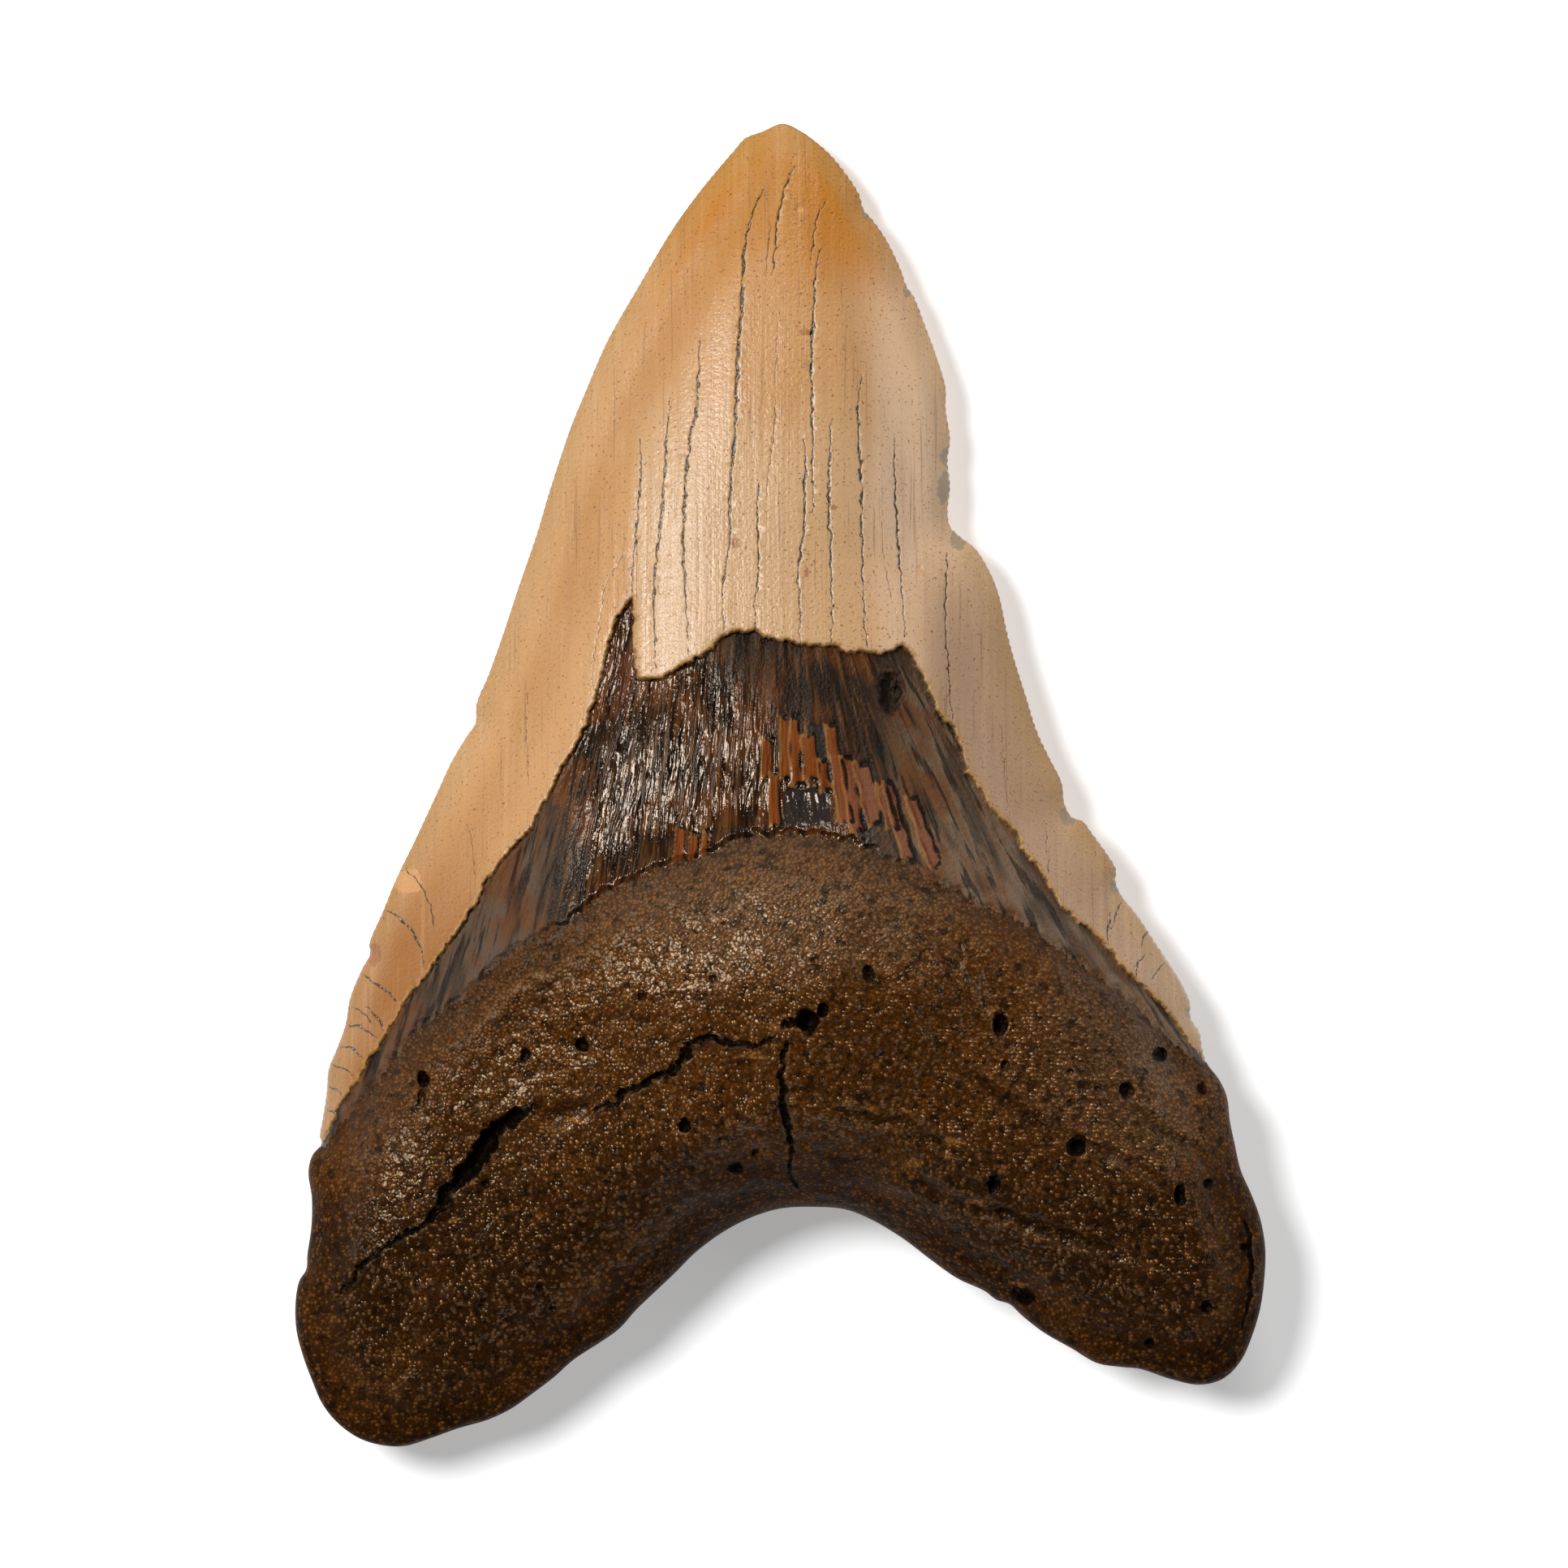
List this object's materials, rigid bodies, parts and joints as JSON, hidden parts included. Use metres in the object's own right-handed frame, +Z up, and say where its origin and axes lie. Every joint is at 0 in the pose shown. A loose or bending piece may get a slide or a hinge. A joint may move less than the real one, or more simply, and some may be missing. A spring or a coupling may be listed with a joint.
{
  "type": "fossil megalodon tooth",
  "caption": "Fossil shark tooth lying on its flat face: caramel enamel blade, dark bourlette band and a brown two-lobed porous root.",
  "frame": {"origin": "middle of the tooth's box, on the surface that it lies on", "axes": "+Y from the root towards the tip, +Z up out of the domed face, +X across the root"},
  "size_m": [0.0984, 0.1344, 0.026],
  "materials": {
    "tooth": "polished caramel enamel with a dark bourlette and a porous brown root"
  },
  "bodies": {
    "root": {"tooth": "tooth"}
  },
  "joints": []
}
